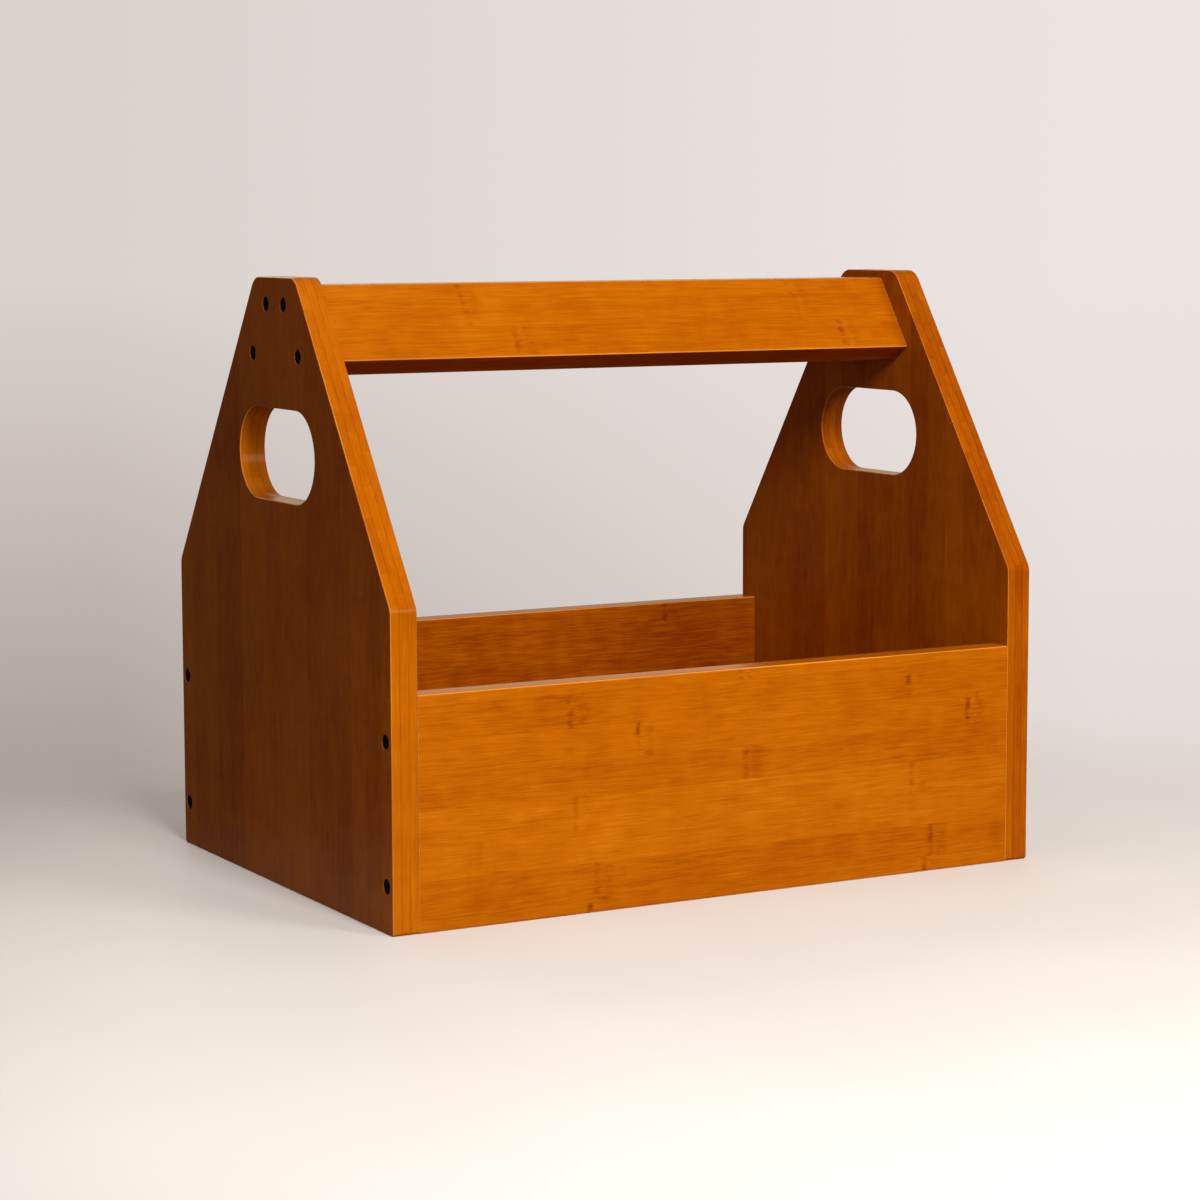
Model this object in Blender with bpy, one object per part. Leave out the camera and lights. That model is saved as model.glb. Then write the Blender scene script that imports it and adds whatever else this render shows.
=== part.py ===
"""Carry box for grooming brushes, in laminated bamboo boards held by recessed hex-socket screws.

X runs along the box, -Y is its front and Z is up. The origin is on the ground under the middle
of the box. Two end panels stand at the ends. Between them lie the front and back boards, a
bottom board that is let into grooves, and two slats that lean together as the handle.
"""

import math

import bmesh
import bpy
from mathutils import Matrix, Vector

# Sizes of the whole box, in metres.
BOX_LENGTH = 0.400
BOX_DEPTH = 0.286
CONTACT_GAP = 0.0003
ARRIS = 0.001
ARRIS_STEPS = 2

# End panels. The upright edges turn in at the shoulders and slope up to a short level crown.
PANEL_HEIGHT = 0.334
PANEL_THICKNESS = 0.015
SHOULDER_HEIGHT = 0.168
CROWN_WIDTH = 0.055
CROWN_RADIUS = 0.012
SHOULDER_RADIUS = 0.008
FOOT_RADIUS = 0.002
HAND_HOLE_WIDTH = 0.101
HAND_HOLE_HEIGHT = 0.050
HAND_HOLE_DROP = 0.096

# Front, back and bottom boards.
WALL_HEIGHT = 0.124
WALL_THICKNESS = 0.015
BOTTOM_THICKNESS = 0.008
BOTTOM_CLEARANCE = 0.010
TONGUE = 0.005

# Handle slats. Their faces run parallel to the panels' sloping edges.
SLAT_THICKNESS = 0.015
SLAT_WIDTH = 0.0485
SLAT_INSET = 0.014
HANDLE_DROP = 0.0044
PALM_RADIUS = 0.002

# Screws, and where they enter the ends of the boards.
SCREW_LENGTH = 0.048
SCREW_DIAMETER = 0.005
SCREW_POINT = 0.004
SCREW_TIP_DIAMETER = 0.0016
HEAD_DIAMETER = 0.0074
HEAD_HEIGHT = 0.0028
HEAD_RECESS = 0.0015
SOCKET_WIDTH = 0.004
SOCKET_DEPTH = 0.002
WALL_SCREW_FROM_FOOT = 0.025
WALL_SCREW_FROM_TOP = 0.024
SLAT_SCREW_FROM_EDGE = 0.008
SLAT_SCREW_SPACING = 0.033

# Sides and steps of the round shapes, and the turn past which an edge is sharp.
CROWN_STEPS = 7
SHOULDER_STEPS = 3
HAND_HOLE_STEPS = 14
BORE_SIDES = 18
SCREW_SIDES = 12
SHARP_TURN = math.radians(40)

# Places worked out from the sizes.
HALF_LENGTH = BOX_LENGTH / 2
HALF_DEPTH = BOX_DEPTH / 2
INNER_X = HALF_LENGTH - PANEL_THICKNESS
INNER_Y = HALF_DEPTH - WALL_THICKNESS
BOARD_END_X = INNER_X - CONTACT_GAP
HAND_HOLE_Z = PANEL_HEIGHT - HAND_HOLE_DROP
HANDLE_TOP = PANEL_HEIGHT - HANDLE_DROP

# Colours of the finishes, linear RGB, and how rough they are.
BAMBOO_FACE = (0.56, 0.16, 0.012)
BAMBOO_END = (0.42, 0.10, 0.010)
BLACK_STEEL = (0.012, 0.012, 0.013)
LACQUER_ROUGHNESS = 0.35
STEEL_ROUGHNESS = 0.3


def clear_scene():
    for old in list(bpy.data.objects):
        bpy.data.objects.remove(old, do_unlink=True)


def finish(name, colour, roughness, metallic):
    """A Principled material of one colour."""
    material = bpy.data.materials.new(name)
    material.use_nodes = True
    shader = material.node_tree.nodes["Principled BSDF"]
    shader.inputs["Base Color"].default_value = (*colour, 1.0)
    shader.inputs["Roughness"].default_value = roughness
    shader.inputs["Metallic"].default_value = metallic
    return material


def add_object(name, shape, material=None):
    """Turn a bmesh into a smooth-shaded object with sharp edges where its faces turn."""
    mesh = bpy.data.meshes.new(name)
    shape.to_mesh(mesh)
    shape.free()
    mesh.shade_smooth()
    mesh.set_sharp_from_angle(angle=SHARP_TURN)
    piece = bpy.data.objects.new(name, mesh)
    bpy.context.collection.objects.link(piece)
    if material:
        mesh.materials.append(material)
    return piece


def add_cutter(name, shape):
    """A shape that only cuts other pieces."""
    cutter = add_object(name, shape)
    cutter.hide_render = True
    cutter.display_type = 'WIRE'
    return cutter


def cut(piece, cutter):
    boolean = piece.modifiers.new(cutter.name, 'BOOLEAN')
    boolean.operation = 'DIFFERENCE'
    boolean.solver = 'EXACT'
    boolean.object = cutter


def rounded_outline(corners, inset=0.0):
    """Closed outline in Y and Z. Each corner is (y, z, radius, steps) and becomes an arc.

    An inset draws the whole outline in by that much, towards the centres of its arcs, so every
    radius has to be larger than the inset. A corner of no radius stays sharp.
    """
    outline = []
    for index, (y, z, radius, steps) in enumerate(corners):
        corner = Vector((y, z))
        if not radius:
            outline.append(corner)
            continue
        before = (Vector(corners[index - 1][:2]) - corner).normalized()
        after = (Vector(corners[(index + 1) % len(corners)][:2]) - corner).normalized()
        half_angle = before.angle(after) / 2
        centre = corner + (before + after).normalized() * radius / math.sin(half_angle)
        reach = radius / math.tan(half_angle)
        start = corner + before * reach - centre
        end = corner + after * reach - centre
        turn = start.angle_signed(end)
        spoke = start * (1 - inset / radius)
        for step in range(steps + 1):
            outline.append(centre + Matrix.Rotation(-turn * step / steps, 2) @ spoke)
    return outline


def slot_outline(width, height, centre_z, steps, growth=0.0):
    """Outline in Y and Z of a level slot with round ends, grown all round by a given amount."""
    radius = height / 2 + growth
    centre_y = (width - height) / 2
    outline = []
    for side in (1, -1):
        for step in range(steps + 1):
            angle = math.pi * (step / steps - 0.5)
            y = side * (centre_y + radius * math.cos(angle))
            outline.append(Vector((y, centre_z + side * radius * math.sin(angle))))
    return outline


def extruded(outline, x_low, x_high):
    """Carry an outline in Y and Z along X."""
    shape = bmesh.new()
    face = shape.faces.new([shape.verts.new((x_low, y, z)) for y, z in outline])
    region = bmesh.ops.extrude_face_region(shape, geom=[face])["geom"]
    moved = [item for item in region if isinstance(item, bmesh.types.BMVert)]
    bmesh.ops.translate(shape, verts=moved, vec=(x_high - x_low, 0, 0))
    bmesh.ops.recalc_face_normals(shape, faces=shape.faces)
    return shape


def eased_levels(x_low, x_high):
    """Places across a board's thickness where its eased edge is drawn, as (x, inset).

    Each edge is a quarter circle: the inset falls from ARRIS at the face to nothing at the side.
    """
    turns = [math.pi / 2 * step / ARRIS_STEPS for step in range(ARRIS_STEPS + 1)]
    quarter = [(ARRIS * (1 - math.cos(turn)), ARRIS * (1 - math.sin(turn))) for turn in turns]
    near = [(x_low + depth, inset) for depth, inset in quarter]
    far = [(x_high - depth, inset) for depth, inset in reversed(quarter)]
    return near + far


def ring_wall(shape, outlines):
    """Walls between equal outlines, given as (x, outline). Returns the first and last loops."""
    loops = [[shape.verts.new((x, y, z)) for y, z in outline] for x, outline in outlines]
    for near, far in zip(loops, loops[1:]):
        for side, vert in enumerate(near):
            shape.faces.new((near[side - 1], vert, far[side], far[side - 1]))
    return loops[0], loops[-1]


def loop_edges(loop):
    """The edges round a closed loop of vertices."""
    pairs = zip(loop, loop[1:] + loop[:1])
    return [edge for a, b in pairs for edge in a.link_edges if b in edge.verts]


def pierced_board(corners, hole, x_low, x_high):
    """Board in Y and Z with a slot through it along X, and all its long edges eased.

    The hole is (width, height, centre_z, steps). The outline draws in at both faces as the slot
    grows, and each face is filled between the two.
    """
    shape = bmesh.new()
    levels = eased_levels(x_low, x_high)
    outer = ring_wall(shape, [(x, rounded_outline(corners, inset)) for x, inset in levels])
    inner = ring_wall(shape, [(x, slot_outline(*hole, growth=inset)) for x, inset in levels])
    for outer_loop, inner_loop in zip(outer, inner):
        rims = loop_edges(outer_loop) + loop_edges(inner_loop)
        bmesh.ops.triangle_fill(shape, use_beauty=True, edges=rims)
    bmesh.ops.recalc_face_normals(shape, faces=shape.faces)
    return shape


def turned(rings, sides):
    """Solid about the X axis. Each ring is (x, radius, is_hexagon), from one end to the other.

    A hexagonal ring has its flats at the radius, and its points lie at the same angles as a round
    ring's, so the sides must be a multiple of six.
    """
    shape = bmesh.new()
    loops = []
    for x, radius, is_hexagon in rings:
        loop = []
        for side in range(sides):
            angle = math.tau * side / sides
            reach = radius
            if is_hexagon:
                reach = radius / math.cos(angle % (math.pi / 3) - math.pi / 6)
            loop.append(shape.verts.new((x, reach * math.cos(angle), reach * math.sin(angle))))
        loops.append(loop)
    for near, far in zip(loops, loops[1:]):
        for side in range(sides):
            following = (side + 1) % sides
            shape.faces.new((near[side], near[following], far[following], far[side]))
    shape.faces.new(loops[0])
    shape.faces.new(loops[-1])
    bmesh.ops.recalc_face_normals(shape, faces=shape.faces)
    return shape


def slope_directions():
    """Unit vectors in Y and Z at the front of a panel: up its sloping edge, and into the box."""
    shoulder = Vector((-HALF_DEPTH, SHOULDER_HEIGHT))
    crown = Vector((-CROWN_WIDTH / 2, PANEL_HEIGHT))
    up = (crown - shoulder).normalized()
    return up, Vector((up.y, -up.x))


def slat_corners():
    """Corners of the front slat's section in Y and Z, from its lower front edge round.

    The face lies at SLAT_INSET from the panel's sloping edge. The top is cut level, and the two
    slats meet on an upright joint in the middle of the handle.
    """
    up, inward = slope_directions()
    shoulder = Vector((-HALF_DEPTH, SHOULDER_HEIGHT))
    face_start = shoulder + inward * SLAT_INSET
    top_front = face_start + up * (HANDLE_TOP - face_start.y) / up.y
    low_front = top_front - up * SLAT_WIDTH
    low_back = low_front + inward * SLAT_THICKNESS
    joint_y = -CONTACT_GAP / 2
    joint_low = low_back + up * (joint_y - low_back.x) / up.x
    return low_front, top_front, Vector((joint_y, HANDLE_TOP)), joint_low, low_back


def slat_screw_places():
    """Screw centres in Y and Z in the front slat's end: lower and upper."""
    up, inward = slope_directions()
    middle = slat_corners()[0] + inward * SLAT_THICKNESS / 2
    lower = middle + up * SLAT_SCREW_FROM_EDGE
    return lower, lower + up * SLAT_SCREW_SPACING


def make_end_panel(name, side):
    """One end panel, at -X or +X, with its hand hole and all its long edges eased."""
    corners = [
        (-HALF_DEPTH, 0, FOOT_RADIUS, ARRIS_STEPS),
        (-HALF_DEPTH, SHOULDER_HEIGHT, SHOULDER_RADIUS, SHOULDER_STEPS),
        (-CROWN_WIDTH / 2, PANEL_HEIGHT, CROWN_RADIUS, CROWN_STEPS),
        (CROWN_WIDTH / 2, PANEL_HEIGHT, CROWN_RADIUS, CROWN_STEPS),
        (HALF_DEPTH, SHOULDER_HEIGHT, SHOULDER_RADIUS, SHOULDER_STEPS),
        (HALF_DEPTH, 0, FOOT_RADIUS, ARRIS_STEPS),
    ]
    hole = (HAND_HOLE_WIDTH, HAND_HOLE_HEIGHT, HAND_HOLE_Z, HAND_HOLE_STEPS)
    x_low, x_high = sorted((side * INNER_X, side * HALF_LENGTH))
    material = finish(name, BAMBOO_END, LACQUER_ROUGHNESS, 0.0)
    panel = add_object(name, pierced_board(corners, hole, x_low, x_high), material)
    cut(panel, make_bottom_groove(name, side))
    return panel


def make_bottom_groove(name, side):
    """Stopped groove in a panel's inner face for the end of the bottom board."""
    reach_y = INNER_Y + TONGUE + CONTACT_GAP
    depth_x = INNER_X + TONGUE + CONTACT_GAP
    x_low, x_high = sorted((side * depth_x, side * (INNER_X - TONGUE)))
    return add_cutter(name + "_groove", extruded(groove_outline(-reach_y, reach_y), x_low, x_high))


def groove_outline(y_low, y_high):
    """Height of the groove round the bottom board's edge, between two places in Y."""
    z_low = BOTTOM_CLEARANCE - CONTACT_GAP
    z_high = BOTTOM_CLEARANCE + BOTTOM_THICKNESS + CONTACT_GAP
    return [(y_low, z_low), (y_high, z_low), (y_high, z_high), (y_low, z_high)]


def make_wall(name, side):
    """The front or back board, flush with the panels' edges and grooved for the bottom board."""
    y_low, y_high = sorted((side * INNER_Y, side * HALF_DEPTH))
    corners = [(y_low, 0), (y_high, 0), (y_high, WALL_HEIGHT), (y_low, WALL_HEIGHT)]
    outline = rounded_outline([(y, z, ARRIS, ARRIS_STEPS) for y, z in corners])
    board = extruded(outline, -BOARD_END_X, BOARD_END_X)
    wall = add_object(name, board, finish(name, BAMBOO_FACE, LACQUER_ROUGHNESS, 0.0))

    groove_y = sorted((side * (INNER_Y - TONGUE), side * (INNER_Y + TONGUE + CONTACT_GAP)))
    groove = extruded(groove_outline(*groove_y), -HALF_LENGTH, HALF_LENGTH)
    cut(wall, add_cutter(name + "_groove", groove))
    return wall


def make_bottom_board():
    """Thin board whose four edges lie in the grooves."""
    reach_x = INNER_X + TONGUE
    reach_y = INNER_Y + TONGUE
    z_low = BOTTOM_CLEARANCE
    z_high = BOTTOM_CLEARANCE + BOTTOM_THICKNESS
    corners = [(-reach_y, z_low), (reach_y, z_low), (reach_y, z_high), (-reach_y, z_high)]
    board = extruded(corners, -reach_x, reach_x)
    material = finish("bottom_board", BAMBOO_FACE, LACQUER_ROUGHNESS, 0.0)
    return add_object("bottom_board", board, material)


def make_slat(name, side):
    """A handle slat; side is -1 for the front one and 1 for its mirror image at the back."""
    radii = (ARRIS, PALM_RADIUS, 0, 0, ARRIS)
    corners = [(-side * corner.x, corner.y, radius, ARRIS_STEPS)
               for corner, radius in zip(slat_corners(), radii)]
    slat = extruded(rounded_outline(corners), -BOARD_END_X, BOARD_END_X)
    return add_object(name, slat, finish(name, BAMBOO_FACE, LACQUER_ROUGHNESS, 0.0))


def screw_mesh():
    """Screw along X, from its head's outer face at 0 to its point, with a hexagonal socket."""
    shank = SCREW_DIAMETER / 2
    end = HEAD_HEIGHT + SCREW_LENGTH
    rings = [
        (SOCKET_DEPTH, SOCKET_WIDTH / 2, True),
        (0, SOCKET_WIDTH / 2, True),
        (0, HEAD_DIAMETER / 2 - CONTACT_GAP, False),
        (CONTACT_GAP, HEAD_DIAMETER / 2, False),
        (HEAD_HEIGHT, HEAD_DIAMETER / 2, False),
        (HEAD_HEIGHT, shank, False),
        (end - SCREW_POINT, shank, False),
        (end, SCREW_TIP_DIAMETER / 2, False),
    ]
    return turned(rings, SCREW_SIDES)


def drill_mesh():
    """Stepped bore for one screw along X: its head's recess, then the hole for its shank."""
    head = HEAD_DIAMETER / 2 + CONTACT_GAP
    shank = SCREW_DIAMETER / 2 + CONTACT_GAP
    seat = HEAD_HEIGHT + CONTACT_GAP
    rings = [
        (-HEAD_RECESS - PANEL_THICKNESS, head, False),
        (seat, head, False),
        (seat, shank, False),
        (HEAD_HEIGHT + SCREW_LENGTH + CONTACT_GAP, shank, False),
    ]
    return turned(rings, BORE_SIDES)


def placed_at_end(end, place):
    """Where a screw or its drill enters the end panel at -X or +X, as a matrix."""
    spot = Matrix.Translation((end * (HALF_LENGTH - HEAD_RECESS), place[0], place[1]))
    return spot @ Matrix.Rotation(math.pi if end > 0 else 0, 4, 'Z')


def screw_places():
    """Every screw's board, level and centre in Y and Z, at one end of the box."""
    wall_y = HALF_DEPTH - WALL_THICKNESS / 2
    slat_low, slat_high = slat_screw_places()
    places = []
    for where, side in (("front", -1), ("back", 1)):
        wall = where + "_board"
        slat = "handle_slat_" + where
        places.append((wall, "lower", (side * wall_y, WALL_SCREW_FROM_FOOT)))
        places.append((wall, "upper", (side * wall_y, WALL_HEIGHT - WALL_SCREW_FROM_TOP)))
        places.append((slat, "lower", (-side * slat_low.x, slat_low.y)))
        places.append((slat, "upper", (-side * slat_high.x, slat_high.y)))
    return places


def make_drills(end_name, end):
    """All the bores at one end as one cutter, so that each board is cut only once there."""
    drills = bmesh.new()
    for _, _, place in screw_places():
        mesh = bpy.data.meshes.new("drill")
        drill = drill_mesh()
        drill.transform(placed_at_end(end, place))
        drill.to_mesh(mesh)
        drill.free()
        drills.from_mesh(mesh)
        bpy.data.meshes.remove(mesh)
    return add_cutter("drills_" + end_name, drills)


def make_screws(pieces):
    """Drill and fit the screws through both end panels into the ends of the boards."""
    first = add_object("screw", screw_mesh(), finish("black_screw", BLACK_STEEL, STEEL_ROUGHNESS, 1.0))
    screw = first.data
    bpy.data.objects.remove(first)
    for end, end_name in ((-1, "left"), (1, "right")):
        for board, level, place in screw_places():
            name = "screw_" + end_name + "_" + board + "_" + level
            piece = bpy.data.objects.new(name, screw)
            bpy.context.collection.objects.link(piece)
            piece.matrix_world = placed_at_end(end, place)
        drills = make_drills(end_name, end)
        cut(pieces["end_panel_" + end_name], drills)
        for board in ("front_board", "back_board", "handle_slat_front", "handle_slat_back"):
            cut(pieces[board], drills)


def build_box():
    clear_scene()
    pieces = {
        "end_panel_left": make_end_panel("end_panel_left", -1),
        "end_panel_right": make_end_panel("end_panel_right", 1),
        "front_board": make_wall("front_board", -1),
        "back_board": make_wall("back_board", 1),
        "bottom_board": make_bottom_board(),
        "handle_slat_front": make_slat("handle_slat_front", -1),
        "handle_slat_back": make_slat("handle_slat_back", 1),
    }
    make_screws(pieces)


build_box()
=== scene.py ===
import math

import bmesh
import bpy
import numpy as np
from mathutils.geometry import delaunay_2d_cdt
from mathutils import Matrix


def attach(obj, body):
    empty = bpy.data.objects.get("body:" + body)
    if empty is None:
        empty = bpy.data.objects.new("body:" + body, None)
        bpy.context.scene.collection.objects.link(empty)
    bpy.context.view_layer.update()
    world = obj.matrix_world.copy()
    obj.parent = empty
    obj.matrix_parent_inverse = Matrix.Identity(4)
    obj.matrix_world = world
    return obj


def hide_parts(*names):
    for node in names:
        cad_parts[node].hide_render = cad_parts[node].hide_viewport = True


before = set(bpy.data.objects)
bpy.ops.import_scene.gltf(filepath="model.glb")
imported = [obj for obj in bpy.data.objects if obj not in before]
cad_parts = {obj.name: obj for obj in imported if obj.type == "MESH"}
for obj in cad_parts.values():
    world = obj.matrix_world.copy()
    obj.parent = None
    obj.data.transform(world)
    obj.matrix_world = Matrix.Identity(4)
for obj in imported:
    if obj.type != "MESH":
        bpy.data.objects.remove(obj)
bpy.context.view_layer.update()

# END PANELS
# Two house-shaped boards of laminated bamboo, 15 mm thick in three plies, with the grain upright.
# Outer edges are rounded to 1 mm, also round the hand hole, and inner edges are just broken.
# Counterbores for the screws go in from outside, and a groove inside takes the bottom.
BOX_LENGTH = 0.400
BOX_DEPTH = 0.286
BOARD = 0.015
SEAM = 0.0003
ARRIS = 0.001
INNER_ARRIS = 0.0005
ARRIS_STEPS = 6
CORNER_STEPS = 10
HOLD = 0.0003
PANEL_HEIGHT = 0.334
SHOULDER_HEIGHT = 0.168
CROWN_WIDTH = 0.055
CROWN_RADIUS = 0.012
SHOULDER_RADIUS = 0.008
FOOT_RADIUS = 0.002
HOLE_WIDTH, HOLE_HEIGHT, HOLE_Z = 0.101, 0.050, 0.238
BOTTOM_LOW, BOTTOM_HIGH = 0.010, 0.018
TONGUE = 0.005
GROOVE_DEPTH = TONGUE + SEAM
GROOVE_LOW, GROOVE_HIGH = BOTTOM_LOW - SEAM, BOTTOM_HIGH + SEAM
HEAD_SET = 0.0015
HEAD_HEIGHT = 0.0028
RECESS_RADIUS = 0.0040
RECESS_DEPTH = HEAD_SET + HEAD_HEIGHT + SEAM
RECESS_LIP = 0.00025
LIP_RADIUS = RECESS_RADIUS + RECESS_LIP
LIP_KNEE = 0.3 * RECESS_LIP
BORE_RADIUS = 0.0028
ROUND_SIDES = 36
HOLE_STEPS = 40
INSIDE_OUTLINES = 1
SAME_POINT = 1e-7
WELD = 2e-6
SHARP = math.radians(40)
HALF_LENGTH = BOX_LENGTH / 2
HALF_DEPTH = BOX_DEPTH / 2
INNER_X = HALF_LENGTH - BOARD
INNER_Y = HALF_DEPTH - BOARD


def rounded_outline(corners, radii, steps, inset):
    """Closed outline in Y and Z, drawn in all round by an inset.

    Each corner's arc has its centre at the corner plus the bisector times radius over the sine of
    the half angle. The arc sweeps from one tangent point to the next, and its radius is less by
    the inset, or more where the outline turns the other way. One more point stands before and
    after each arc, by the hold, so that flat sides stay flat when shaded smooth.
    """
    corners = np.asarray(corners, float)
    radii = np.asarray(radii, float)[:, None]
    before = np.roll(corners, 1, 0) - corners
    after = np.roll(corners, -1, 0) - corners
    before /= np.linalg.norm(before, axis=1, keepdims=True)
    after /= np.linalg.norm(after, axis=1, keepdims=True)
    half = np.arccos(np.clip((before * after).sum(1), -1, 1))[:, None] / 2
    turn = np.sign(before[:, 0] * after[:, 1] - before[:, 1] * after[:, 0])[:, None]
    bisector = before + after
    bisector /= np.linalg.norm(bisector, axis=1, keepdims=True)
    centre = corners + bisector * radii / np.sin(half)
    start = corners + before * radii / np.tan(half) - centre
    end = corners + after * radii / np.tan(half) - centre
    share = np.linspace(0, 1, steps + 1)[None, :, None]
    sweep = (math.pi - 2 * half)[:, :, None]
    arc = np.sin((1 - share) * sweep) * start[:, None] + np.sin(share * sweep) * end[:, None]
    arc /= np.sin(sweep)
    outward = -turn * np.sign(signed_area(corners))
    spoke = 1 - outward[:, :, None] * inset / radii[:, :, None]
    points = centre[:, None] + arc * spoke
    lead = points[:, :1] + before[:, None] * HOLD
    tail = points[:, -1:] + after[:, None] * HOLD
    return np.concatenate([lead, points, tail], 1).reshape(-1, 2)


def signed_area(outline):
    """Area inside a closed outline, positive where it runs anticlockwise."""
    following = np.roll(outline, -1, 0)
    return (outline[:, 0] * following[:, 1] - outline[:, 1] * following[:, 0]).sum() / 2


def panel_corners():
    """The panel's corners and their radii: crown, shoulder and foot, then their mirror images."""
    half = [(CROWN_WIDTH / 2, PANEL_HEIGHT), (HALF_DEPTH, SHOULDER_HEIGHT), (HALF_DEPTH, 0)]
    radii = (CROWN_RADIUS, SHOULDER_RADIUS, FOOT_RADIUS)
    return half + [(-y, z) for y, z in reversed(half)], radii + radii[::-1]


def slot_outline(grown):
    """The hand hole: two half circles with level sides between them, grown by a given amount."""
    reach = (HOLE_WIDTH - HOLE_HEIGHT) / 2
    angle = np.linspace(-math.pi / 2, math.pi / 2, HOLE_STEPS + 1)
    radius = HOLE_HEIGHT / 2 + grown
    right = np.stack([reach + radius * np.cos(angle), HOLE_Z + radius * np.sin(angle)], 1)
    left = np.stack([-right[:, 0], 2 * HOLE_Z - right[:, 1]], 1)
    right_holds = [[reach - HOLD, HOLE_Z - radius], [reach - HOLD, HOLE_Z + radius]]
    left_holds = [[HOLD - reach, HOLE_Z + radius], [HOLD - reach, HOLE_Z - radius]]
    return np.concatenate([right_holds[:1], right, right_holds[1:],
                           left_holds[:1], left, left_holds[1:]])


def circle(centre, radius):
    """Points at even angles round a centre in Y and Z."""
    angle = np.arange(ROUND_SIDES) * math.tau / ROUND_SIDES
    return np.stack([centre[0] + radius * np.cos(angle), centre[1] + radius * np.sin(angle)], 1)


def at_x(outline, x):
    """An outline in Y and Z as points in space at one X."""
    return np.column_stack([np.full(len(outline), x), outline])


def skin(loops):
    """Quads between equal closed loops: point i of a loop joins points i and i + 1 of the next."""
    rows, sides = len(loops), len(loops[0])
    index = np.arange(rows * sides).reshape(rows, sides)
    following = np.roll(index, -1, 1)
    quads = np.stack([index[:-1], following[:-1], following[1:], index[1:]], -1).reshape(-1, 4)
    return np.concatenate(loops), quads


def flat_face(outer, holes, x):
    """Flat face at one X between an outer outline and holes.

    These are the constrained Delaunay triangles that belong to the outer outline alone.
    """
    loops = [loop if signed_area(loop) > 0 else loop[::-1] for loop in (outer, *holes)]
    starts = np.cumsum([0] + [len(loop) for loop in loops])
    rings = [np.arange(low, high).tolist() for low, high in zip(starts, starts[1:])]
    points = np.concatenate(loops).tolist()
    found = delaunay_2d_cdt(points, [], rings, INSIDE_OUTLINES, SAME_POINT)
    points, _, triangles, _, _, owners = found
    flat = np.array([tuple(point) for point in points])
    keep = np.array([owner == [0] for owner in owners])
    return at_x(flat, x), np.array(triangles)[keep]


def eased_levels(x_low, x_high):
    """Places across a thickness where its two eased edges are drawn, as (x, inset).

    Each edge is a quarter circle: x goes in by ease (1 - cos a) as the inset falls to ease
    (1 - sin a). A level just inside each flat keeps that flat's shading even.
    """
    angle = np.linspace(0, math.pi / 2, ARRIS_STEPS + 1)

    def edge(ease):
        depth = np.concatenate([[0], ease * (1 - np.cos(angle)), [ease + HOLD]])
        inset = np.concatenate([[ease + HOLD], ease * (1 - np.sin(angle)), [0]])
        return depth, inset

    low_depth, low_inset = edge(INNER_ARRIS)
    high_depth, high_inset = edge(ARRIS)
    low_edge = zip(x_low + low_depth, low_inset)
    high_edge = zip(x_high - high_depth[::-1], high_inset[::-1])
    return [*low_edge, *high_edge]


def new_object(name, data):
    """An object in the scene for a mesh, a light or a camera."""
    made = bpy.data.objects.new(name, data)
    bpy.context.scene.collection.objects.link(made)
    return made


def make_piece(name, parts, material, replaced):
    """Join parts, each (points, faces), into one closed mesh and stand it in for a CAD node."""
    shape = bmesh.new()
    for points, faces in parts:
        mesh = bpy.data.meshes.new(name)
        mesh.from_pydata(points.tolist(), [], faces.tolist())
        shape.from_mesh(mesh)
        bpy.data.meshes.remove(mesh)
    bmesh.ops.remove_doubles(shape, verts=shape.verts, dist=WELD)
    bmesh.ops.recalc_face_normals(shape, faces=shape.faces)
    mesh = bpy.data.meshes.new(name)
    shape.to_mesh(mesh)
    shape.free()
    mesh.shade_smooth()
    mesh.set_sharp_from_angle(angle=SHARP)
    mesh.materials.append(material)
    piece = new_object(name, mesh)
    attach(piece, "root")
    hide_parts(replaced)
    return piece


def blank_material(name):
    """A new material, its node tree and its shader."""
    material = bpy.data.materials.new(name)
    material.use_nodes = True
    tree = material.node_tree
    return material, tree, tree.nodes["Principled BSDF"]


def add(tree, kind, *inputs, **settings):
    """One shader node. An input is a number, a vector or the output of another node."""
    made = tree.nodes.new("ShaderNode" + kind)
    for key, value in settings.items():
        setattr(made, key, value)
    for socket, value in zip(made.inputs, inputs):
        if isinstance(value, bpy.types.NodeSocket):
            tree.links.new(value, socket)
        elif value is not None:
            socket.default_value = value
    return made.outputs[0]


def outputs(socket):
    """Every output of the node that an output belongs to."""
    return socket.node.outputs


def place_on_object(tree):
    """The point in the object's own metres."""
    return outputs(add(tree, "TexCoord"))["Object"]


def calc(tree, operation, *inputs):
    """One Math node."""
    return add(tree, "Math", *inputs, operation=operation)


def away(tree, value, middle):
    """How far a value is from a middle."""
    return calc(tree, 'ABSOLUTE', calc(tree, 'SUBTRACT', value, middle))


def from_whole(tree, value):
    """How far a value is from the nearest whole number."""
    return calc(tree, 'SUBTRACT', 0.5, away(tree, calc(tree, 'FRACT', value), 0.5))


def weighted(tree, total, *shares):
    """A total plus each part times its amount, the shares being (amount, part)."""
    for amount, part in shares:
        total = calc(tree, 'MULTIPLY_ADD', part, amount, total)
    return total


def noise(tree, where, scale, detail, roughness=0.5):
    """Noise that runs from -0.5 to 0.5."""
    return calc(tree, 'SUBTRACT', add(tree, "TexNoise", where, None, scale, detail, roughness), 0.5)


def ramp(tree, value, stops, interpolation='LINEAR'):
    """Colour Ramp through the given stops, each (position, colour)."""
    made = tree.nodes.new("ShaderNodeValToRGB")
    made.color_ramp.interpolation = interpolation
    elements = made.color_ramp.elements
    elements.remove(elements[1])
    for position, colour in stops:
        element = elements.new(position) if position > 0 else elements[0]
        element.position = position
        element.color = (*colour, 1)
    tree.links.new(value, made.inputs[0])
    return made.outputs[0]


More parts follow.
